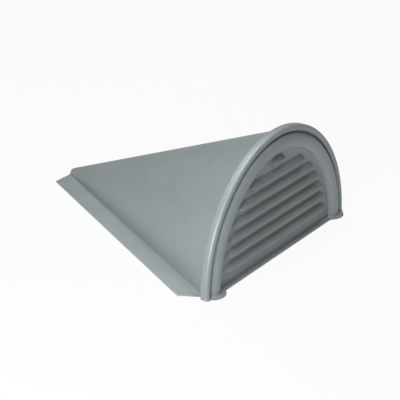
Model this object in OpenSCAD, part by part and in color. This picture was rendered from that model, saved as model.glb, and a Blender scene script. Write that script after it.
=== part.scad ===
// Half-round zinc roof vent: a louvred front panel seamed onto a half-cone hood
// X runs across the front, +Y towards the hood's closed rear end, Z up from the roof
// The origin is at the middle of the base, on the roof surface

/* [Sheet] */
// Thickness of the zinc sheet
sheet_t = 0.8; // [0.6:0.1:1.2]
// Inside radius of the folds along the base
fold_r = 1.5; // [1:0.25:2.5]

/* [Hood] */
// Outer radius of the hood at its front edge
hood_r = 146; // [120:1:170]
// Outer radius of the closed rear end
tip_r = 5; // [4:0.5:12]
// Length of the hood, from the panel to the rear end
hood_len = 303; // [240:1:400]

/* [Side flanges] */
// Width of a flange, square to its fold
flange_w = 25; // [15:1:40]
// How far each flange's outer front corner is cut back
corner_back = 22; // [10:1:40]
// Gap between the seam and the front end of a flange
flange_gap = 1; // [0.5:0.5:4]

/* [Seam] */
// How far the seam stands out from the hood's front edge
seam_step = 4; // [3.5:0.25:6]
// Radius of the seam's rolled front
roll_r = 4.1; // [3.5:0.1:5]
// How far the roll stands forward of the panel
roll_out = 5; // [4.5:0.25:7]
// How far the seam reaches back over the hood
skirt_len = 4.6; // [3.5:0.2:8]
// Running gap between the hood and the seam that wraps it
seam_gap = 0.3; // [0.2:0.05:0.5]

/* [Front panel] */
// Backward lean of the panel, in degrees from square to the base
lean = 6; // [0:0.5:10]
// Width of the bead between its two feet
bead_w = 20; // [14:1:24]
// Height of the bead over the panel
bead_h = 7.5; // [5:0.5:9]
// Width of the groove between the bead and the seam
groove_w = 0.8; // [0.5:0.1:3]

/* [Louvres] */
// Number of louvres
louvre_count = 7; // [3:1:7]
// Height of the lowest louvre's lip over the panel's bottom edge
louvre_start = 18.4; // [14:0.2:24]
// Distance from one louvre to the next
louvre_pitch = 15.75; // [14:0.25:16]
// How far a louvre stands out
louvre_depth = 5.5; // [4:0.5:7]
// Height of a louvre's blade
louvre_rise = 9.5; // [8:0.5:10]
// Height of the upright edge at a louvre's lip
louvre_nose = 1.5; // [1:0.25:3]
// Length of each rounded end of a louvre
end_run = 12; // [9:0.5:16]
// How far each slot reaches down below its lip
slot_drop = 2.7; // [1.5:0.1:3.5]
// Distance of the louvre tips from the middle of the panel's bottom edge
louvre_reach = 112.6; // [90:0.2:115]

/* [Bottom lip] */
// How far the lip stands forward of the panel
lip_w = 6.5; // [4:0.5:9]
// Radius of the inside curve where the lip swings round a bead end
lip_sweep_r = 8; // [4:0.5:12]
// How far the lip stands out round the foot of the seam
foot_w = 1.2; // [0.6:0.2:2]

/* [Hidden] */
$fn = 96;
// Slack that cutting shapes run past the faces they cut
over = 2;
// Height of the arch centre over the base, where the folds end
spring_z = sheet_t + fold_r;
seam_r = hood_r + seam_step;
roll_centre_r = seam_r - roll_r;
roll_centre_y = roll_r - roll_out;
// Feet and middle of the bead, as radii of the arch
bead_outer_r = seam_r - 2 * roll_r - groove_w;
bead_inner_r = bead_outer_r - bead_w;
bead_mid_r = bead_outer_r - bead_w / 2;
// The bead is an arc of this radius, centred this far behind the panel's face
bead_arc_r = (pow(bead_w / 2, 2) + pow(bead_h, 2)) / (2 * bead_h);
bead_arc_y = bead_arc_r - bead_h;
// Half angle of the hood in plan, and its wall measured along X
hood_half_angle = atan((hood_r - tip_r) / hood_len);
wall_x = sheet_t / cos(hood_half_angle);
flange_x = flange_w / cos(hood_half_angle);
// The lip's front edge reaches furthest forward at the bead ends
front_reach = (bead_h + lip_w) * cos(lean);
mid_y = (hood_len - front_reach) / 2;
// Axis of a louvre's rounded end, behind the panel's face
end_axis_y = (pow(end_run, 2) - pow(louvre_depth, 2)) / (2 * louvre_depth);
// Sheet thickness of a sloping blade, measured level
blade_x = sheet_t * sqrt(1 + pow(louvre_depth / (louvre_rise - louvre_nose), 2));

// Outer radius of the hood at a distance behind the panel's face
function hood_r_at(y) = hood_r - (hood_r - tip_r) * y / hood_len;

// Half length of a louvre at a height over the panel's bottom edge
function louvre_half(z) = sqrt(max(0, pow(louvre_reach, 2) - pow(z, 2)));

// Places a shape made about the arch centre, with the panel's face in its XZ plane
module at_arch() {
    translate([0, -mid_y, spring_z]) rotate([-lean, 0, 0]) children();
}

// Keeps what lies above the base plane
module above_base() {
    intersection() {
        children();
        translate([-2 * seam_r, -hood_len, 0]) cube([4 * seam_r, 2 * hood_len, 2 * seam_r]);
    }
}

// Sweeps a section, drawn as [radius, -y], over the half-round arch and down its two legs
module arch_sweep() {
    rotate([90, 0, 0]) rotate_extrude(angle = 180, $fn = 144) children();
    for (side = [-1, 1])
        mirror([side > 0 ? 0 : 1, 0, 0])
            translate([0, 0, -spring_z - over])
                linear_extrude(spring_z + over)
                    mirror([0, 1]) children();
}

// Section of the rolled seam: a channel open to the rear that wraps the hood's edge
module seam_section() {
    difference() {
        seam_outline(0);
        difference() {
            seam_outline(sheet_t);
            // Turned-in hem that closes the channel behind the hood's edge
            translate([hood_r_at(skirt_len - sheet_t) + seam_gap, -skirt_len])
                square([seam_r, sheet_t]);
        }
        // The inner leg ends at the back of the panel sheet
        translate([0, -skirt_len - over])
            square([roll_centre_r, skirt_len + over - sheet_t]);
    }
}

// Filled outline of the seam, drawn in by an inset
module seam_outline(inset) {
    translate([roll_centre_r, -roll_centre_y]) circle(roll_r - inset);
    translate([roll_centre_r - roll_r + inset, -skirt_len])
        square([2 * (roll_r - inset), skirt_len - roll_centre_y]);
}

// Section of the bead, from one foot to the other
module bead_section() {
    intersection() {
        translate([bead_mid_r, -bead_arc_y])
            difference() {
                circle(bead_arc_r);
                circle(bead_arc_r - sheet_t);
            }
        translate([bead_inner_r - over, -sheet_t]) square([bead_w + 2 * over, bead_h + over]);
    }
}

// Flat sheet in the groove between the bead and the seam
module groove_section() {
    translate([bead_outer_r - sheet_t, -sheet_t]) square([groove_w + 2 * sheet_t, sheet_t]);
}

// Flat field of the panel inside the bead
module field() {
    rotate([90, 0, 0]) translate([0, 0, -sheet_t]) linear_extrude(sheet_t) {
        intersection() {
            circle(bead_inner_r + sheet_t / 2, $fn = 144);
            translate([-seam_r, 0]) square([2 * seam_r, seam_r]);
        }
        translate([-bead_inner_r - sheet_t / 2, -spring_z - over])
            square([2 * bead_inner_r + sheet_t, spring_z + over]);
    }
}

// Half section of a louvre about the axis of its rounded end, drawn as [radius, z]
module louvre_section(hollow) {
    t = hollow ? sheet_t : 0;
    level_t = hollow ? blade_x : 0;
    slope = (louvre_rise - louvre_nose) / louvre_depth;
    polygon([
        [0, hollow ? -slot_drop : 0],
        [end_axis_y + louvre_depth - t, hollow ? -slot_drop : 0],
        [end_axis_y + louvre_depth - t, louvre_nose - (level_t - t) * slope],
        [end_axis_y - level_t, louvre_rise],
        [0, louvre_rise]
    ]);
}

// Solid of one louvre, or of the hollow behind its sheet, cut off behind the panel
module louvre_body(half_len, hollow) {
    back = hollow ? sheet_t + over : sheet_t / 2;
    intersection() {
        translate([0, end_axis_y, 0]) {
            for (side = [-1, 1])
                translate([side * half_len, 0, 0])
                    rotate_extrude($fn = 64) louvre_section(hollow);
            translate([-half_len, 0, 0]) rotate([90, 0, 90])
                linear_extrude(2 * half_len) mirror([1, 0]) louvre_section(hollow);
        }
        translate([-seam_r, back - 2 * seam_r, -seam_r]) cube(2 * seam_r);
    }
}

// Repeats a louvre body up the panel, wherever its rounded ends fit
module louvres(hollow) {
    for (i = [0 : louvre_count - 1]) {
        z = louvre_start + i * louvre_pitch;
        half_len = louvre_half(z - slot_drop / 2) - end_run;
        if (half_len > 0)
            translate([0, 0, z - spring_z]) louvre_body(half_len, hollow);
    }
}

// Quarter bend and flat lip, drawn as [distance in front of the bent face, z]
module lip_section(width) {
    intersection() {
        translate([fold_r, 0])
            difference() {
                circle(spring_z);
                circle(fold_r);
            }
        translate([-sheet_t, -spring_z]) square([spring_z, spring_z]);
    }
    translate([fold_r, -spring_z]) square([width - fold_r, sheet_t]);
}

// Lip along the straight bottom edge of the panel
module straight_lip() {
    translate([-bead_inner_r, 0, 0])
        rotate([90, 0, 90])
            linear_extrude(2 * bead_inner_r)
                mirror([1, 0]) lip_section(lip_w);
}

// Lip that swings round the open end of the bead and the foot of the seam
module bead_end_lip() {
    intersection() {
        union() {
            translate([bead_mid_r, bead_arc_y, 0])
                rotate_extrude()
                    translate([bead_arc_r, 0]) lip_section(lip_w);
            translate([0, 0, -spring_z]) linear_extrude(sheet_t) foot_outline();
        }
        translate([0, -2 * seam_r, -seam_r]) cube([2 * seam_r, 2 * seam_r + sheet_t, 2 * seam_r]);
    }
}

// Plan of the flat foot round the seam and of the web that blends into the straight lip
module foot_outline() {
    sweep_y = -lip_w - lip_sweep_r;
    sweep_x = bead_mid_r
        - sqrt(pow(bead_arc_r + lip_w + lip_sweep_r, 2) - pow(bead_arc_y - sweep_y, 2));
    difference() {
        polygon([[sweep_x, sweep_y], [sweep_x, -fold_r], [bead_inner_r, -fold_r],
                 [bead_mid_r, bead_arc_y]]);
        translate([sweep_x, sweep_y]) circle(lip_sweep_r);
        translate([bead_mid_r, bead_arc_y]) circle(bead_arc_r);
    }
    difference() {
        translate([roll_centre_r, roll_centre_y]) circle(roll_r + foot_w);
        translate([bead_mid_r, bead_arc_y]) circle(bead_arc_r);
    }
}

// Solid half cone drawn in by an inset, from a leaning front face to an upright rear face
module half_cone(inset, front, rear) {
    hull() {
        half_disc(front, inset, lean);
        half_disc(hood_len - rear, inset, 0);
    }
}

// Thin half disc across the cone, at a distance behind the panel's face
module half_disc(y, inset, tilt) {
    thin = 0.01;
    r = hood_r_at(y) - inset;
    translate([0, y - mid_y, spring_z]) rotate([90 - tilt, 0, 0]) linear_extrude(thin)
        intersection() {
            circle(r, $fn = 128);
            translate([-r, 0]) square([2 * r, r]);
        }
}

// Ring turned out at the hood's front edge, which the seam wraps
module turned_edge() {
    arch_sweep()
        translate([hood_r - wall_x, -sheet_t])
            square([seam_step - sheet_t - seam_gap + wall_x, sheet_t]);
}

// One side flange with its fold, running along the hood's straight base edge
module flange(side) {
    run = hood_len / cos(hood_half_angle);
    mirror([side > 0 ? 0 : 1, 0, 0])
        intersection() {
            translate([hood_r, -mid_y, spring_z]) rotate([0, 0, hood_half_angle])
                translate([0, -over, 0]) rotate([90, 0, 0]) mirror([0, 0, 1])
                    linear_extrude(run + 2 * over) lip_section(flange_w);
            translate([0, -mid_y, -over]) linear_extrude(2 * spring_z + over) flange_plan();
        }
}

// Plan of a flange: its front corner is cut back and its rear end is square
module flange_plan() {
    front = skirt_len + flange_gap;
    polygon([
        [0, front],
        [hood_r_at(front) + fold_r, front],
        [hood_r_at(front + corner_back) + flange_x, front + corner_back],
        [hood_r + 2 * flange_x, front + corner_back],
        [hood_r + 2 * flange_x, hood_len],
        [0, hood_len]
    ]);
}

// Hood: one sheet rolled to a half cone, closed at the rear and folded out to two flanges
module hood() {
    color("#97a0a1") {
        difference() {
            half_cone(0, 0, 0);
            half_cone(wall_x, -over, sheet_t);
        }
        above_base() at_arch() turned_edge();
        for (side = [-1, 1]) flange(side);
    }
}

// Front panel: one pressed sheet with louvres, a bead, a rolled seam and a bottom lip
module front_panel() {
    color("#7f898b")
        above_base() at_arch() {
            arch_sweep() {
                seam_section();
                bead_section();
                groove_section();
            }
            difference() {
                union() {
                    field();
                    louvres(false);
                }
                louvres(true);
            }
            straight_lip();
            for (side = [-1, 1])
                mirror([side > 0 ? 0 : 1, 0, 0]) bead_end_lip();
        }
}

hood();
front_panel();
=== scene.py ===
"""Looks of a half-round zinc roof vent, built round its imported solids.

The hood and the louvred front panel are each modelled as one bent sheet. Their shapes are
worked out in millimetres, the front ones in the frame of the leaning arch, and then placed
in the shared frame in metres.
"""

import logging
import math
from dataclasses import dataclass, field
from enum import Enum
from typing import Callable, Iterable

import bmesh
import bpy
from mathutils import Matrix, Vector


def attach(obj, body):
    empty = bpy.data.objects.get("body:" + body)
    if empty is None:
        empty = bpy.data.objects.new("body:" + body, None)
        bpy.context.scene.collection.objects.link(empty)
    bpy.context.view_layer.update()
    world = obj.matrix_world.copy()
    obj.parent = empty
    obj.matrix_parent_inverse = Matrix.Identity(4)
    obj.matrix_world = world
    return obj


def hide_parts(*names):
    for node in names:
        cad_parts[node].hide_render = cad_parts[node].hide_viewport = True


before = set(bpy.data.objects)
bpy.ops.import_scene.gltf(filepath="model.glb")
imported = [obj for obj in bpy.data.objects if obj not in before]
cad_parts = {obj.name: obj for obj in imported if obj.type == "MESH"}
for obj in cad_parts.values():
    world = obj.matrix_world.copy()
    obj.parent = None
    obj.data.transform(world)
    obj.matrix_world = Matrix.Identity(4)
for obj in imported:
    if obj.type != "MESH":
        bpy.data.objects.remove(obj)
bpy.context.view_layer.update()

log = logging.getLogger("roof_vent")

Point = tuple[float, float]
TO_METRES = 0.001


class Slot(Enum):
    """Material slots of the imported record."""

    HOOD = "hood_zinc"
    PANEL = "panel_zinc"


class RayView(Enum):
    """Rays that see the bright background instead of the lit floor."""

    CAMERA = "Is Camera Ray"
    GLOSSY = "Is Glossy Ray"
    TRANSMISSION = "Is Transmission Ray"


# --- plane curves -------------------------------------------------------------------------


def arc(centre: Point, radius: float, start: float, end: float, steps: int) -> list[Point]:
    """Points along a circular arc, both ends included.

    Args:
        centre: Centre of the circle.
        radius: Radius of the circle.
        start: Angle of the first point, in degrees.
        end: Angle of the last point, in degrees.
        steps: Number of equal steps between them.

    Returns:
        The points in order.
    """
    angles = [math.radians(start + (end - start) * k / steps) for k in range(steps + 1)]
    return [(centre[0] + radius * math.cos(a), centre[1] + radius * math.sin(a)) for a in angles]


def tangent_centre(a: Point, reach_a: float, b: Point, reach_b: float) -> Point:
    """Centre of the circle that touches two others, on the left of the way from a to b.

    Args:
        a: Centre of the first circle.
        reach_a: Distance from it to the centre that is looked for.
        b: Centre of the second circle.
        reach_b: Distance from it to the centre that is looked for.

    Returns:
        The centre.
    """
    start, way = Vector(a), Vector(b) - Vector(a)
    along = (reach_a**2 - reach_b**2 + way.length_squared) / (2 * way.length)
    aside = math.sqrt(reach_a**2 - along**2)
    unit = way.normalized()
    found = start + unit * along + Vector((-unit.y, unit.x)) * aside
    return found.x, found.y


def heading(a: Point, b: Point) -> float:
    """Direction from one point to another, in degrees."""
    return math.degrees(math.atan2(b[1] - a[1], b[0] - a[0]))


def soft_min(a: float, b: float, width: float) -> float:
    """Smaller of two values, rounded where they meet."""
    near = max(width - abs(a - b), 0.0) / width
    return min(a, b) - near * near * width / 4


def soft_max(a: float, b: float, width: float) -> float:
    """Larger of two values, rounded where they meet."""
    return -soft_min(-a, -b, width)


def ease(value: float) -> float:
    """Smooth step from 0 to 1, held at its ends."""
    t = min(max(value, 0.0), 1.0)
    return t * t * (3 - 2 * t)


def mix(a: float, b: float, share: float) -> float:
    """Value between two others."""
    return a + (b - a) * share


# --- sheet meshes -------------------------------------------------------------------------


def sheet_grid(columns: int, rows: int, place: Callable[[int, int], Vector],
               open_at: Callable[[int, int], bool]) -> bmesh.types.BMesh:
    """Grid of faces, shaped by a function of its columns and rows.

    Args:
        columns: Number of faces across.
        rows: Number of faces up.
        place: Gives the place of the corner at a column and a row.
        open_at: Tells whether the face at a column and a row is left out.

    Returns:
        The shaped mesh.
    """
    bm = bmesh.new()
    bmesh.ops.create_grid(bm, x_segments=columns, y_segments=rows, size=1.0)
    gone = [f for f in bm.faces
            if open_at(int((f.calc_center_median().x + 1) / 2 * columns),
                       int((f.calc_center_median().y + 1) / 2 * rows))]
    bmesh.ops.delete(bm, geom=gone, context="FACES")
    for vert in bm.verts:
        column = round((vert.co.x + 1) / 2 * columns)
        row = round((vert.co.y + 1) / 2 * rows)
        vert.co = place(column, row)
    return bm


def draw_out(bm: bmesh.types.BMesh, edges: list[bmesh.types.BMEdge],
             move: Callable[[bmesh.types.BMVert], Vector]) -> list[bmesh.types.BMEdge]:
    """Extrudes a chain of edges once and moves the new corners.

    Args:
        bm: The mesh.
        edges: The chain.
        move: Gives the new place of a corner that still lies on the old one.

    Returns:
        The edges of the new chain.
    """
    made = bmesh.ops.extrude_edge_only(bm, edges=edges)["geom"]
    for vert in (g for g in made if isinstance(g, bmesh.types.BMVert)):
        vert.co = move(vert)
    fresh = {g for g in made if isinstance(g, bmesh.types.BMVert)}
    return [g for g in made if isinstance(g, bmesh.types.BMEdge) and set(g.verts) <= fresh]


def seal_and_face(bm: bmesh.types.BMesh, outside: Vector) -> None:
    """Merges doubled corners and turns the whole sheet's faces to the outside.

    Args:
        bm: The open sheet.
        outside: A place far outside the sheet, on the side that its face looks to.
    """
    bmesh.ops.remove_doubles(bm, verts=bm.verts, dist=1e-4)
    bmesh.ops.recalc_face_normals(bm, faces=bm.faces)
    bm.normal_update()
    votes = sum(f.calc_area() * (1 if f.normal.dot(outside - f.calc_center_median()) > 0 else -1)
                for f in bm.faces)
    if votes < 0:
        bmesh.ops.reverse_faces(bm, faces=bm.faces)


@dataclass(frozen=True)
class SheetFinish:
    """Turns an open sheet into a piece with thickness and softened cut edges."""

    thickness: float = 0.8
    edge_softening: float = 0.14
    edge_angle: float = 55.0
    crease_angle: float = 38.0

    def piece(self, name: str, bm: bmesh.types.BMesh) -> bpy.types.Object:
        """Makes the object of a sheet whose mesh is in millimetres.

        Args:
            name: Name of the piece.
            bm: The open sheet, which is used up.

        Returns:
            The finished piece, in metres, with nothing left to apply.
        """
        rough = bpy.data.meshes.new(name + "_sheet")
        bm.to_mesh(rough)
        bm.free()
        piece = bpy.data.objects.new(name, rough)
        bpy.context.scene.collection.objects.link(piece)
        wall = piece.modifiers.new("thickness", "SOLIDIFY")
        wall.thickness, wall.offset = self.thickness, -1.0
        wall.use_even_offset, wall.use_quality_normals = False, True
        soften = piece.modifiers.new("cut_edges", "BEVEL")
        soften.width, soften.segments, soften.profile = self.edge_softening, 2, 0.5
        soften.limit_method, soften.angle_limit = "ANGLE", math.radians(self.edge_angle)
        soften.use_clamp_overlap = True
        ready = bpy.data.meshes.new_from_object(
            piece.evaluated_get(bpy.context.evaluated_depsgraph_get()))
        piece.modifiers.clear()
        piece.data = ready
        ready.name = name
        bpy.data.meshes.remove(rough)
        ready.transform(Matrix.Scale(TO_METRES, 4))
        for vert in ready.vertices:
            vert.co.z = max(vert.co.z, 0.0)
        ready.shade_smooth()
        ready.set_sharp_from_angle(angle=math.radians(self.crease_angle))
        return piece


# --- the arch that the front stands in ----------------------------------------------------


@dataclass(frozen=True)
class Arch:
    """Radii and placing shared by the hood's front edge and the front panel, in millimetres."""

    sheet: float = 0.8
    fold: float = 1.5
    hood_r: float = 146.0
    tip_r: float = 5.0
    hood_len: float = 303.0
    seam_step: float = 4.0
    lean: float = 6.0
    bead_height: float = 7.5
    lip: float = 6.5

    @property
    def seam_r(self) -> float:
        """Outer radius of the seam."""
        return self.hood_r + self.seam_step

    @property
    def spring(self) -> float:
        """Height of the arch centre over the base."""
        return self.sheet + self.fold

    @property
    def front_y(self) -> float:
        """Place of the panel's face along Y, at its foot."""
        return -(self.hood_len - (self.bead_height + self.lip) * math.cos(math.radians(self.lean))) / 2

    def hood_r_at(self, y: float) -> float:
        """Outer radius of the hood at a distance behind the panel's face."""
        return self.hood_r - (self.hood_r - self.tip_r) * y / self.hood_len

    def placed(self) -> Matrix:
        """Matrix from the leaning arch frame to the shared frame, in millimetres."""
        return (Matrix.Translation((0, self.front_y, self.spring))
                @ Matrix.Rotation(math.radians(-self.lean), 4, "X"))


# --- front panel --------------------------------------------------------------------------


@dataclass(frozen=True)
class Louvre:
    """One louvre pressed out of the field, in the arch frame."""

    lip_z: float
    straight: float
    depth: float = 5.5
    rise: float = 9.5
    nose: float = 1.5
    end_run: float = 12.0
    drop: float = 2.7
    bend: float = 1.2
    foot_bend: float = 1.3

    @property
    def axis(self) -> float:
        """Distance of the rounded end's axis behind the panel's face."""
        return (self.end_run**2 - self.depth**2) / (2 * self.depth)

    @property
    def tip(self) -> float:
        """Half length of the louvre, over its rounded ends."""
        return self.straight + self.end_run

    def slot_half(self, sheet: float) -> float:
        """Half length of the slot that is left open under the lip."""
        return self.straight + math.sqrt((self.axis + self.depth - sheet)**2 - self.axis**2)

    def stand_out(self, x: float, z: float) -> float:
        """How far the pressed sheet stands forward of the panel's face.

        Args:
            x: Place across the panel.
            z: Height in the arch frame.

        Returns:
            The distance, zero away from the louvre.
        """
        height = z - self.lip_z
        if height < -1e-6:
            return 0.0
        slope = self.depth / (self.rise - self.nose)
        plan = soft_min(self.depth, (self.rise - height) * slope, self.bend)
        aside = max(abs(x) - self.straight, 0.0)
        reach = self.axis + plan
        out = math.sqrt(reach**2 - aside**2) - self.axis if 0 < aside < reach else (
            plan if aside == 0 else -self.axis)
        return soft_max(out, 0.0, self.foot_bend)


@dataclass
class FrontPanel:
    """The pressed half-round sheet with louvres, bead, rolled seam and bottom lip."""

    arch: Arch
    roll_r: float = 4.1
    roll_out: float = 5.0
    skirt: float = 4.6
    gap: float = 0.3
    bead_width: float = 20.0
    groove: float = 0.8
    foot_fillet: float = 1.5
    groove_fillet: float = 0.5
    skirt_corner: float = 0.9
    louvre_count: int = 7
    louvre_start: float = 18.4
    louvre_pitch: float = 15.75
    louvre_reach: float = 112.6
    louvre_drop: float = 2.7
    end_run: float = 12.0
    lip_sweep: float = 8.0
    foot_width: float = 1.2
    straight_columns: int = 12
    end_columns: int = 12
    tip_columns: int = 4
    margin_columns: int = 6
    louvres: list[Louvre] = field(init=False)
    heights: list[float] = field(init=False)
    slot_rows: set[int] = field(init=False)
    marks: list[tuple[float, float, float, float]] = field(init=False)

    def __post_init__(self) -> None:
        """Works out the louvres and the rows of the field's grid."""
        self.louvres = [self._louvre(i) for i in range(self.louvre_count)]
        self._lay_rows()

    # Radii of the arch and circles of the profile, as (radius, distance forward)

    @property
    def bead_mid(self) -> float:
        """Radius of the arch through the middle of the bead."""
        return self.arch.seam_r - 2 * self.roll_r - self.groove - self.bead_width / 2

    @property
    def bead_r(self) -> float:
        """Radius of the bead's section."""
        half, rise = self.bead_width / 2, self.arch.bead_height
        return (half**2 + rise**2) / (2 * rise)

    @property
    def bead_centre(self) -> Point:
        """Centre of the bead's section."""
        return self.bead_mid, self.arch.bead_height - self.bead_r

    @property
    def roll_centre(self) -> Point:
        """Centre of the seam's rolled front."""
        return self.arch.seam_r - self.roll_r, self.roll_out - self.roll_r

    @property
    def fillet_centre(self) -> Point:
        """Centre of the bend between the field and the bead."""
        reach = self.bead_r + self.foot_fillet
        drop = self.bead_centre[1] - self.foot_fillet
        return self.bead_mid - math.sqrt(reach**2 - drop**2), self.foot_fillet

    @property
    def field_r(self) -> float:
        """Radius of the flat field, up to the bead's bend."""
        return self.fillet_centre[0]

    def _louvre(self, index: int) -> Louvre:
        """Louvre of the given number, counted from the bottom."""
        from_edge = self.louvre_start + index * self.louvre_pitch
        half = math.sqrt(self.louvre_reach**2 - (from_edge - self.louvre_drop / 2)**2)
        lip_z = from_edge - self.arch.spring
        return Louvre(lip_z=lip_z, straight=half - self.end_run, end_run=self.end_run,
                      drop=self.louvre_drop, rise=min(9.5, self.field_r - lip_z - 0.6))

    def _lay_rows(self) -> None:
        """Sets the heights of the grid's rows and the marks that its columns follow."""
        heights: list[float] = []
        owners: list[tuple[int, float]] = []
        slots: set[int] = set()

        def add(height: float, louvre: int, shift: float) -> None:
            """Adds a row that follows a louvre, or stands part of the way to the next."""
            heights.append(height)
            owners.append((louvre, shift))

        bottom = self.louvres[0].lip_z - self.louvre_drop
        for k in range(5):
            add(bottom * k / 5, 0, 0.0)
        steps = (0.0, 0.4, 0.8, 1.2, 1.6, 2.1, 2.7, 3.5, 4.4, 5.4, 6.4, 7.3, 8.0, 8.6, 9.1,
                 9.5, 9.9, 10.4, 11.0)
        for i, louvre in enumerate(self.louvres):
            last = i == self.louvre_count - 1
            add(louvre.lip_z - louvre.drop, i, 0.0)
            slots.add(len(heights) - 1)
            for step in (s for s in steps if not last or s < 2.2):
                add(louvre.lip_z + step, i, 0.0)
            if not last:
                top = self.louvres[i + 1].lip_z - louvre.drop
                for share in (0.35, 0.7):
                    add(mix(louvre.lip_z + steps[-1], top, share), i, share)
        start = math.acos(heights[-1] / self.field_r)
        turns = 12
        for k in range(1, turns + 1):
            add(self.field_r * math.cos(start * (1 - k / turns)), self.louvre_count - 1, 0.0)
        self.heights, self.slot_rows = heights, slots
        self.marks = [self._row_marks(z, *owner) for z, owner in zip(heights, owners)]

    def _row_marks(self, z: float, index: int, shift: float) -> tuple[float, float, float, float]:
        """Half widths, in one row, of a louvre's straight part, its slot, its foot and the field.

        Args:
            z: Height of the row.
            index: Louvre that the row follows.
            shift: Share of the way to the next louvre.

        Returns:
            The four half widths, from the middle outwards.
        """
        here = self.louvres[index]
        then = self.louvres[min(index + 1, self.louvre_count - 1)]
        sheet = self.arch.sheet
        edge = math.sqrt(max(self.field_r**2 - z**2, 0.0))
        foot = min(mix(here.tip, then.tip, shift) + 1.6, edge * 0.93)
        slot = min(mix(here.slot_half(sheet), then.slot_half(sheet), shift), foot * 0.96)
        straight = min(mix(here.straight, then.straight, shift), slot * 0.92)
        return straight, slot, foot, edge

    def _half_width(self, row: int, column: int) -> float:
        """Place across the panel of a column, counted from the middle, in one row."""
        straight, slot, foot, edge = self.marks[row]
        count = abs(column)
        if count <= self.straight_columns:
            x = straight * count / self.straight_columns
        elif (count := count - self.straight_columns) <= self.end_columns:
            x = mix(straight, slot, math.sin(count / self.end_columns * math.pi / 2))
        elif (count := count - self.end_columns) <= self.tip_columns:
            x = mix(slot, foot, count / self.tip_columns)
        else:
            x = mix(foot, edge, (count - self.tip_columns) / self.margin_columns)
        return math.copysign(x, column)

    def _field(self) -> bmesh.types.BMesh:
        """Flat field with its louvres pressed out and its slots open."""
        half = (self.straight_columns + self.end_columns + self.tip_columns
                + self.margin_columns)
        slot_half = self.straight_columns + self.end_columns

        def place(column: int, row: int) -> Vector:
            """Pressed place of a corner of the grid."""
            x, z = self._half_width(row, column - half), self.heights[row]
            out = max(louvre.stand_out(x, z) if z < louvre.lip_z + 12.5 else 0.0
                      for louvre in self.louvres)
            return Vector((x, -out, z))

        def slot(column: int, row: int) -> bool:
            """Whether a face lies in a slot."""
            return row in self.slot_rows and abs(column - half + 0.5) < slot_half

        bm = sheet_grid(2 * half, len(self.heights) - 1, place, slot)
        bmesh.ops.remove_doubles(bm, verts=bm.verts, dist=1e-4)
        return bm

    def profile(self) -> list[Point]:
        """Section from the field's edge over the bead, the groove and the seam to its hem.

        Returns:
            Points as (radius, distance forward of the panel's face).
        """
        fillet, bead, roll = self.fillet_centre, self.bead_centre, self.roll_centre
        valley = tangent_centre(bead, self.bead_r + self.groove_fillet,
                                roll, self.roll_r + self.groove_fillet)
        corner = (self.arch.seam_r - self.skirt_corner, -self.skirt + self.skirt_corner)
        hem_r = self.arch.hood_r_at(self.skirt - self.arch.sheet) + self.gap
        rise = heading(fillet, bead)
        points = arc(fillet, self.foot_fillet, -90, rise, 6)
        points += arc(bead, self.bead_r, 180 + rise, heading(bead, valley), 26)[1:]
        points += arc(valley, self.groove_fillet, heading(valley, bead) + (
            360 if heading(valley, bead) < 0 else 0), heading(valley, roll) + 360, 6)[1:]
        points += arc(roll, self.roll_r, heading(roll, valley) % 360, 0, 18)[1:]
        points += [(self.arch.seam_r, mix(roll[1], corner[1], k / 3)) for k in (1, 2, 3)]
        points += arc(corner, self.skirt_corner, 0, -90, 5)[1:]
        points += [(mix(corner[0], hem_r, k / 3), -self.skirt) for k in (1, 2, 3)]
        return points

    def _lip_target(self, point: Point) -> Point:
        """Place on the lip's outer edge that belongs to a place on the section's foot.

        Args:
            point: Place on the foot, as (radius, distance forward).

        Returns:
            Place on the lip's edge, as (radius, distance forward).
        """
        x, w = point
        bead, roll, lip = self.bead_centre, self.roll_centre, self.arch.lip
        big = self.bead_r + lip
        sweep_w = lip + self.lip_sweep
        sweep_x = bead[0] - math.sqrt((big + self.lip_sweep)**2 - (sweep_w - bead[1])**2)
        if x <= sweep_x:
            return x, lip
        if x <= self.field_r + 1e-6:
            share = (x - sweep_x) / (self.field_r - sweep_x)
            end = heading((sweep_x, sweep_w), bead)
            turn = mix(-90, end, ease(share) * 0.55 + share * 0.45)
            a = math.radians(turn)
            return (sweep_x + self.lip_sweep * math.cos(a), sweep_w + self.lip_sweep * math.sin(a))
        start = heading(bead, (sweep_x, sweep_w))
        if x <= roll[0] - self.roll_r + 0.5 and w > -0.5:
            share = (x - self.field_r) / (roll[0] - self.roll_r + 0.5 - self.field_r)
            a = math.radians(mix(start, 38.0, share))
            return bead[0] + big * math.cos(a), bead[1] + big * math.sin(a)
        foot = self.roll_r + self.foot_width * ease((w + 0.8) / 2.0)
        a = math.atan2(max(w - roll[1], 0.0), x - roll[0])
        if w <= roll[1]:
            return x + foot - self.roll_r, w
        return roll[0] + foot * math.cos(a), roll[1] + foot * math.sin(a)

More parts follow.
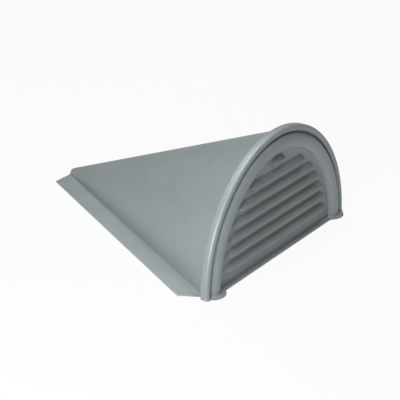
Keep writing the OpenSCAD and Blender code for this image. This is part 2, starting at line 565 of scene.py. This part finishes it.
    def _add_lip(self, bm: bmesh.types.BMesh) -> None:
        """Bends the bottom edge forward into the lip that runs round the bead ends.

        Args:
            bm: The sheet, still cut off square at the height of the arch centre.
        """
        chain = [e for e in bm.edges if e.is_boundary and all(abs(v.co.z) < 1e-6 for v in e.verts)]
        aims: dict[tuple[float, float], tuple[Vector, float]] = {}
        key = lambda co: (round(co.x, 4), round(co.y, 4))
        for vert in {v for e in chain for v in e.verts}:
            x, w = self._lip_target((abs(vert.co.x), -vert.co.y))
            way = Vector((math.copysign(x, vert.co.x) - vert.co.x, -w - vert.co.y))
            aims[key(vert.co)] = (vert.co.copy(), way)
        feet = {v: aims[key(v.co)] for e in chain for v in e.verts}
        bends = [k / 6 for k in range(1, 7)]
        flats = (0.25, 0.5, 0.75, 1.0)
        for share in [("bend", b) for b in bends] + [("flat", f) for f in flats]:
            new_feet: dict[bmesh.types.BMVert, tuple[Vector, Vector]] = {}
            made = bmesh.ops.extrude_edge_only(bm, edges=chain)["geom"]
            fresh = {g for g in made if isinstance(g, bmesh.types.BMVert)}
            for vert in fresh:
                old = next(e.other_vert(vert) for e in vert.link_edges
                           if e.other_vert(vert) not in fresh)
                start, way = feet[old]
                new_feet[vert] = (start, way)
                vert.co = self._lip_point(start, way, *share)
            feet = new_feet
            chain = [g for g in made if isinstance(g, bmesh.types.BMEdge) and set(g.verts) <= fresh]

    def _lip_point(self, start: Vector, way: Vector, part: str, share: float) -> Vector:
        """Place on the bottom bend or on the flat lip.

        Args:
            start: Foot of the sheet above the bend.
            way: Level way from the foot to the lip's edge.
            part: Either "bend" or "flat".
            share: How far along that part.

        Returns:
            The place in the arch frame.
        """
        length = way.length
        unit = way / length if length > 1e-6 else Vector((0.0, 0.0))
        bend = min(self.arch.fold, 0.7 * length)
        turn = share * math.pi / 2 if part == "bend" else math.pi / 2
        out = bend * (1 - math.cos(turn))
        down = (self.arch.fold - bend) * share if part == "bend" else self.arch.fold - bend
        down += bend * math.sin(turn)
        if part == "flat":
            out = mix(bend, length, share)
        # The skirt has no lip and runs straight down to the base
        sink = (1 - ease(length / self.foot_width)) * self.arch.sheet * (share if part == "flat" else 0)
        return Vector((start.x + unit.x * out, start.y + unit.y * out, -down - sink))

    def build(self) -> bpy.types.Object:
        """Models the whole panel.

        Returns:
            The finished piece.
        """
        bm = self._field()
        rim = [e for e in bm.edges if e.is_boundary
               and all(math.hypot(v.co.x, v.co.z) > self.field_r - 1e-3 for v in e.verts)]
        for radius, out in self.profile()[1:]:
            def ring(vert: bmesh.types.BMVert, radius: float = radius, out: float = out) -> Vector:
                """Place of a rim corner on the next step of the profile."""
                a = math.atan2(vert.co.z, vert.co.x)
                return Vector((radius * math.cos(a), -out, radius * math.sin(a)))

            rim = draw_out(bm, rim, ring)
        self._add_lip(bm)
        seal_and_face(bm, Vector((0, -2000, 400)))
        bm.transform(self.arch.placed())
        piece = SheetFinish(self.arch.sheet).piece("louvred_panel", bm)
        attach(piece, "root")
        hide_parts("front_panel")
        return piece


# --- hood ---------------------------------------------------------------------------------


@dataclass
class Hood:
    """The half-cone sheet with its turned front edge, rear end and two flanges."""

    arch: Arch
    flange: float = 25.0
    corner_back: float = 22.0
    flange_start: float = 5.6
    seam_gap: float = 0.3
    edge_bend: float = 0.9
    tip_round: float = 1.6
    flange_columns: int = 6
    fold_columns: int = 8
    cone_columns: int = 96

    @property
    def half_angle(self) -> float:
        """Half angle of the hood in plan."""
        return math.atan((self.arch.hood_r - self.arch.tip_r) / self.arch.hood_len)

    def _stations(self) -> list[tuple[str, float]]:
        """Rows of the sheet, from the turned front edge to the middle of the rear end.

        Returns:
            Pairs of a part of the sheet and a measure along it.
        """
        bend = [("bend", k / 4) for k in range(0, 5)]
        back = self.arch.hood_len - self.tip_round
        ys = [3.0, 4.3, self.flange_start, 8.0]
        ys += [self.flange_start + self.corner_back * k / 5 for k in range(1, 6)]
        first = ys[-1]
        ys += [mix(first, back, k / 36) for k in range(1, 37)]
        tip = [("tip", k / 5) for k in range(1, 6)]
        cap = [("cap", k / 3) for k in range(1, 4)]
        return [("edge", 0.0)] + bend + [("wall", y) for y in ys] + tip + cap

    def _wall(self, y: float, angle: float, inset: float = 0.0) -> Vector:
        """Place on the cone's outer face.

        Args:
            y: Distance behind the panel's face, along the base.
            angle: Angle round the arch, in degrees from the right-hand base edge.
            inset: How far the place is drawn in from the face.

        Returns:
            The place in the shared frame.
        """
        a, share = math.radians(angle), y / self.arch.hood_len
        front_r, rear_r = self.arch.hood_r - inset, self.arch.tip_r - inset
        front = self.arch.placed() @ Vector((front_r * math.cos(a), 0, front_r * math.sin(a)))
        rear = Vector((rear_r * math.cos(a), self.arch.front_y + self.arch.hood_len,
                       rear_r * math.sin(a) + self.arch.spring))
        return front.lerp(rear, share)

    def _cone(self, part: str, at: float, angle: float) -> Vector:
        """Place on the cone, its turned front edge or its rear end.

        Args:
            part: Part of the sheet that the row belongs to.
            at: Measure along that part.
            angle: Angle round the arch, in degrees.

        Returns:
            The place in the shared frame.
        """
        arch, a = self.arch, math.radians(angle)
        turned_r = arch.seam_r - arch.sheet - self.seam_gap
        if part in ("edge", "bend"):
            # The sheet's rear face is the outer one here, so it lies one sheet behind the front
            turn = math.radians(90 * at)
            bend_r = self.edge_bend
            radius = turned_r if part == "edge" else (
                arch.hood_r_at(bend_r + arch.sheet) + bend_r * (1 - math.sin(turn)))
            back = arch.sheet if part == "edge" else arch.sheet + bend_r * (1 - math.cos(turn))
            return arch.placed() @ Vector((radius * math.cos(a), back, radius * math.sin(a)))
        if part == "wall":
            return self._wall(at, angle)
        if part == "tip":
            turn = math.radians(90 * at)
            y = arch.hood_len - self.tip_round * (1 - math.sin(turn))
            return self._wall(y, angle, self.tip_round * (1 - math.cos(turn)))
        inner = arch.tip_r - self.tip_round
        radius = inner * (1 - at)
        rear = Vector((radius * math.cos(a), arch.front_y + arch.hood_len,
                       radius * math.sin(a) + arch.spring))
        return rear

    def _flange(self, y: float, step: int, side: int) -> Vector:
        """Place on the fold or the flange.

        Args:
            y: Distance behind the panel's face.
            step: Column outwards from the hood's wall.
            side: 1 on the right, -1 on the left.

        Returns:
            The place in the shared frame.
        """
        arch = self.arch
        widen = 1 / math.cos(self.half_angle)
        wall = arch.hood_r_at(y)
        if step <= self.fold_columns:
            turn = math.radians(90 * step / self.fold_columns)
            x = wall + arch.fold * widen * (1 - math.cos(turn))
            return Vector((side * x, y + arch.front_y, arch.spring - arch.fold * math.sin(turn)))
        front, back = self.flange_start, self.flange_start + self.corner_back
        full = wall + self.flange * widen
        inner = wall + arch.fold * widen
        if y < back:
            cut_a = arch.hood_r_at(front) + arch.fold * widen
            cut_b = arch.hood_r_at(back) + self.flange * widen
            full = mix(cut_a, cut_b, (y - front) / (back - front))
        share = (step - self.fold_columns) / self.flange_columns
        return Vector((side * mix(inner, full, share), y + arch.front_y, arch.sheet))

    def build(self) -> bpy.types.Object:
        """Models the whole hood.

        Returns:
            The finished piece.
        """
        stations = self._stations()
        side_columns = self.fold_columns + self.flange_columns
        columns = self.cone_columns + 2 * side_columns

        def place(column: int, row: int) -> Vector:
            """Place of a corner of the grid."""
            part, at = stations[row]
            inner = column - side_columns
            if 0 <= inner <= self.cone_columns:
                return self._cone(part, at, 180 - 180 * inner / self.cone_columns)
            side = -1 if inner < 0 else 1
            step = -inner if inner < 0 else inner - self.cone_columns
            y = at if part == "wall" else self.arch.hood_len
            if part in ("edge", "bend"):
                y = self.flange_start
            return self._flange(y, step, side)

        first = next(i for i, s in enumerate(stations) if s == ("wall", self.flange_start))
        last = next(i for i, s in enumerate(stations) if s[0] == "tip")

        def no_face(column: int, row: int) -> bool:
            """Whether the sheet has no face there: the flanges stop short of both ends."""
            inner = column - side_columns
            if 0 <= inner < self.cone_columns:
                return False
            return row < first or row >= last

        bm = sheet_grid(columns, len(stations) - 1, place, no_face)
        seal_and_face(bm, Vector((0, 0, 3000)))
        piece = SheetFinish(self.arch.sheet).piece("half_cone_hood", bm)
        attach(piece, "root")
        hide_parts("hood")
        return piece


# --- zinc ---------------------------------------------------------------------------------


def link_socket(tree: bpy.types.NodeTree, start: bpy.types.NodeSocket,
                end: bpy.types.NodeSocket) -> None:
    """Joins two sockets of a node tree."""
    tree.links.new(start, end)


class ZincSkin:
    """Shader node group with the mottled, faintly streaked face of weathered zinc sheet."""

    NAME = "zinc_skin"

    @classmethod
    def tree(cls) -> bpy.types.NodeTree:
        """Builds the group once and returns it from then on.

        Returns:
            The node group, with Color, Roughness and Height outputs.
        """
        if cls.NAME in bpy.data.node_groups:
            return bpy.data.node_groups[cls.NAME]
        tree = bpy.data.node_groups.new(cls.NAME, "ShaderNodeTree")
        face = tree.interface
        face.new_socket("Place", in_out="INPUT", socket_type="NodeSocketVector")
        face.new_socket("Tone", in_out="INPUT", socket_type="NodeSocketColor")
        for name, value in (("Mottle", 0.1), ("Streak", 0.05), ("Grain", 0.05),
                            ("Base Roughness", 0.5)):
            socket = face.new_socket(name, in_out="INPUT", socket_type="NodeSocketFloat")
            socket.default_value = value
        face.new_socket("Color", in_out="OUTPUT", socket_type="NodeSocketColor")
        face.new_socket("Roughness", in_out="OUTPUT", socket_type="NodeSocketFloat")
        face.new_socket("Height", in_out="OUTPUT", socket_type="NodeSocketFloat")
        cls._fill(tree)
        return tree

    @staticmethod
    def _fill(tree: bpy.types.NodeTree) -> None:
        """Places and joins the group's nodes.

        Args:
            tree: The empty group.
        """
        nodes = tree.nodes
        inside, outside = nodes.new("NodeGroupInput"), nodes.new("NodeGroupOutput")

        def noise(scale: float, detail: float, stretch: Point | None = None) -> bpy.types.NodeSocket:
            """Noise centred on zero, from -0.5 to 0.5."""
            place = inside.outputs["Place"]
            if stretch:
                mapping = nodes.new("ShaderNodeMapping")
                mapping.inputs["Scale"].default_value = (1.0, stretch[0], stretch[1])
                link_socket(tree, place, mapping.inputs["Vector"])
                place = mapping.outputs["Vector"]
            node = nodes.new("ShaderNodeTexNoise")
            node.inputs["Scale"].default_value = scale
            node.inputs["Detail"].default_value = detail
            link_socket(tree, place, node.inputs["Vector"])
            return math_node("SUBTRACT", node.outputs["Fac"], 0.5)

        def math_node(kind: str, a: bpy.types.NodeSocket | float,
                      b: bpy.types.NodeSocket | float) -> bpy.types.NodeSocket:
            """Math node on two sockets or numbers."""
            node = nodes.new("ShaderNodeMath")
            node.operation = kind
            for socket, value in zip(node.inputs, (a, b)):
                if isinstance(value, bpy.types.NodeSocket):
                    link_socket(tree, value, socket)
                else:
                    socket.default_value = value
            return node.outputs[0]

        blotch = noise(38.0, 4.0)
        cloud = noise(9.0, 3.0)
        streak = noise(420.0, 3.0, (0.9, 0.05))
        grain = noise(1900.0, 2.0)
        shade = math_node("MULTIPLY", math_node("ADD", blotch, cloud), inside.outputs["Mottle"])
        shade = math_node("ADD", shade, math_node("MULTIPLY", streak, inside.outputs["Streak"]))
        shade = math_node("ADD", shade, math_node("MULTIPLY", grain, inside.outputs["Grain"]))
        factor = math_node("ADD", shade, 1.0)
        tint = nodes.new("ShaderNodeVectorMath")
        tint.operation = "SCALE"
        link_socket(tree, inside.outputs["Tone"], tint.inputs[0])
        link_socket(tree, factor, tint.inputs["Scale"])
        link_socket(tree, tint.outputs[0], outside.inputs["Color"])
        rough = math_node("ADD", inside.outputs["Base Roughness"],
                          math_node("MULTIPLY", math_node("ADD", blotch, grain), 0.12))
        link_socket(tree, rough, outside.inputs["Roughness"])
        height = math_node("ADD", math_node("MULTIPLY", blotch, 0.6),
                           math_node("MULTIPLY", math_node("ADD", grain, streak), 0.12))
        link_socket(tree, height, outside.inputs["Height"])


@dataclass(frozen=True)
class ZincFinish:
    """Matt, lightly weathered zinc of one sheet."""

    name: str
    tone: tuple[float, float, float] = (0.30, 0.34, 0.345)
    metallic: float = 0.3
    roughness: float = 0.5
    mottle: float = 0.12
    streak: float = 0.10
    grain: float = 0.06
    bump: float = 0.12

    def material(self) -> bpy.types.Material:
        """Builds the material.

        Returns:
            The material.
        """
        made = bpy.data.materials.new(self.name)
        made.use_nodes = True
        tree = made.node_tree
        shader = tree.nodes["Principled BSDF"]
        shader.inputs["Metallic"].default_value = self.metallic
        skin = tree.nodes.new("ShaderNodeGroup")
        skin.node_tree = ZincSkin.tree()
        skin.inputs["Tone"].default_value = (*self.tone, 1.0)
        for socket, value in (("Mottle", self.mottle), ("Streak", self.streak),
                              ("Grain", self.grain), ("Base Roughness", self.roughness)):
            skin.inputs[socket].default_value = value
        place = tree.nodes.new("ShaderNodeTexCoord")
        link_socket(tree, place.outputs["Object"], skin.inputs["Place"])
        bump = tree.nodes.new("ShaderNodeBump")
        bump.inputs["Strength"].default_value = self.bump
        bump.inputs["Distance"].default_value = 0.001
        link_socket(tree, skin.outputs["Height"], bump.inputs["Height"])
        link_socket(tree, skin.outputs["Color"], shader.inputs["Base Color"])
        link_socket(tree, skin.outputs["Roughness"], shader.inputs["Roughness"])
        link_socket(tree, bump.outputs["Normal"], shader.inputs["Normal"])
        return made

    def dress(self, piece: bpy.types.Object) -> None:
        """Gives the finish to a piece."""
        piece.data.materials.clear()
        piece.data.materials.append(self.material())


# --- studio -------------------------------------------------------------------------------


@dataclass(frozen=True)
class SoftBox:
    """A square lamp aimed at a place."""

    name: str
    place: tuple[float, float, float]
    aim: tuple[float, float, float]
    size: float
    watts: float

    def switch_on(self) -> bpy.types.Object:
        """Adds the lamp to the scene."""
        data = bpy.data.lights.new(self.name, "AREA")
        data.shape, data.size, data.energy = "SQUARE", self.size, self.watts
        lamp = bpy.data.objects.new(self.name, data)
        lamp.location = self.place
        way = Vector(self.aim) - Vector(self.place)
        lamp.rotation_mode = "QUATERNION"
        lamp.rotation_quaternion = way.to_track_quat("-Z", "Y")
        bpy.context.scene.collection.objects.link(lamp)
        return lamp


@dataclass(frozen=True)
class Studio:
    """White floor, even surroundings and soft lamps."""

    floor_half: float = 15.0
    floor_drop: float = 0.0004
    floor_tone: float = 0.55
    shadow_share: float = 0.08
    ambient: float = 0.35
    lamps: tuple[SoftBox, ...] = (
        SoftBox("overhead_softbox", (0.0, 0.1, 1.6), (0.0, 0.0, 0.0), 1.4, 26.0),
        SoftBox("left_softbox", (-0.75, -0.25, 0.35), (-0.05, -0.05, 0.06), 0.35, 5.0),
    )

    def _bright_share(self, tree: bpy.types.NodeTree) -> bpy.types.NodeSocket:
        """Socket that is 1 for the rays that see the bright background."""
        rays = tree.nodes.new("ShaderNodeLightPath")
        total: bpy.types.NodeSocket | None = None
        for view in RayView:
            if total is None:
                total = rays.outputs[view.value]
                continue
            add = tree.nodes.new("ShaderNodeMath")
            add.operation, add.use_clamp = "ADD", True
            link_socket(tree, total, add.inputs[0])
            link_socket(tree, rays.outputs[view.value], add.inputs[1])
            total = add.outputs[0]
        return total

    def _floor_material(self) -> bpy.types.Material:
        """Pale floor that is near white to the camera and keeps a faint shadow."""
        made = bpy.data.materials.new("studio_floor")
        made.use_nodes = True
        tree = made.node_tree
        tree.nodes.clear()
        out = tree.nodes.new("ShaderNodeOutputMaterial")
        plain, glow = tree.nodes.new("ShaderNodeBsdfDiffuse"), tree.nodes.new("ShaderNodeEmission")
        plain.inputs["Color"].default_value = (self.floor_tone,) * 3 + (1.0,)
        glow.inputs["Strength"].default_value = 1.0
        share = tree.nodes.new("ShaderNodeMath")
        share.operation = "MULTIPLY"
        share.inputs[1].default_value = 1 - self.shadow_share
        link_socket(tree, self._bright_share(tree), share.inputs[0])
        blend = tree.nodes.new("ShaderNodeMixShader")
        link_socket(tree, share.outputs[0], blend.inputs["Fac"])
        link_socket(tree, plain.outputs[0], blend.inputs[1])
        link_socket(tree, glow.outputs[0], blend.inputs[2])
        link_socket(tree, blend.outputs[0], out.inputs["Surface"])
        return made

    def build(self) -> None:
        """Sets up the floor, the surroundings and the lamps."""
        bm = bmesh.new()
        bmesh.ops.create_grid(bm, x_segments=1, y_segments=1, size=self.floor_half)
        bmesh.ops.translate(bm, verts=bm.verts, vec=(0, 0, -self.floor_drop))
        mesh = bpy.data.meshes.new("studio_floor")
        bm.to_mesh(mesh)
        bm.free()
        floor = bpy.data.objects.new("studio_floor", mesh)
        mesh.materials.append(self._floor_material())
        bpy.context.scene.collection.objects.link(floor)
        self._surround()
        for lamp in self.lamps:
            lamp.switch_on()

    def _surround(self) -> None:
        """Even surroundings, white where they are seen."""
        world = bpy.data.worlds.new("studio")
        bpy.context.scene.world = world
        world.use_nodes = True
        tree = world.node_tree
        back = tree.nodes["Background"]
        level = tree.nodes.new("ShaderNodeMapRange")
        level.inputs["To Min"].default_value = self.ambient
        level.inputs["To Max"].default_value = 1.0
        link_socket(tree, self._bright_share(tree), level.inputs["Value"])
        link_socket(tree, level.outputs[0], back.inputs["Strength"])


# --- camera -------------------------------------------------------------------------------


@dataclass(frozen=True)
class PhotoCamera:
    """Camera at the photograph's viewing angle, worked out from its edges. Millimetres."""

    azimuth: float = -57.91
    elevation: float = 26.14
    roll: float = 5.16
    distance: float = 1689.32
    lens: float = 130.734
    aside: float = -43.62
    above: float = -11.73
    about: tuple[float, float, float] = (0.0, 60.0, 60.0)

    def build(self, arch: Arch) -> None:
        """Places the camera.

        Args:
            arch: The arch whose front the camera was worked out from.
        """
        a, e, r = (math.radians(v) for v in (self.azimuth, self.elevation, self.roll))
        back = Vector((math.sin(a) * math.cos(e), -math.cos(a) * math.cos(e), math.sin(e)))
        level = Vector((math.cos(a), math.sin(a), 0.0))
        rise = back.cross(level).normalized()
        right = level * math.cos(r) + rise * math.sin(r)
        up = rise * math.cos(r) - level * math.sin(r)
        place = (Vector(self.about) + Vector((0, arch.front_y, 0)) + back * self.distance
                 + right * self.aside + up * self.above)
        data = bpy.data.cameras.new("photo_camera")
        data.lens, data.sensor_width = self.lens, 36.0
        data.clip_start, data.clip_end = 0.05, 60.0
        camera = bpy.data.objects.new("photo_camera", data)
        turned = Matrix((right, up, back)).transposed().to_4x4()
        camera.matrix_world = Matrix.Translation(place * TO_METRES) @ turned
        bpy.context.scene.collection.objects.link(camera)
        bpy.context.scene.camera = camera


# --- the whole ----------------------------------------------------------------------------


def main() -> None:
    """Builds the vent, the studio and the camera."""
    logging.basicConfig(level=logging.INFO, format="%(name)s: %(message)s")
    arch = Arch()
    PhotoCamera().build(arch)
    hood = Hood(arch).build()
    ZincFinish("hood_zinc_sheet").dress(hood)
    log.info("hood: %d faces", len(hood.data.polygons))
    panel = FrontPanel(arch).build()
    ZincFinish("panel_zinc_sheet").dress(panel)
    log.info("front panel: %d faces", len(panel.data.polygons))
    Studio().build()
    bpy.context.scene.view_settings.view_transform = "Standard"


if __name__ == "__main__":
    main()
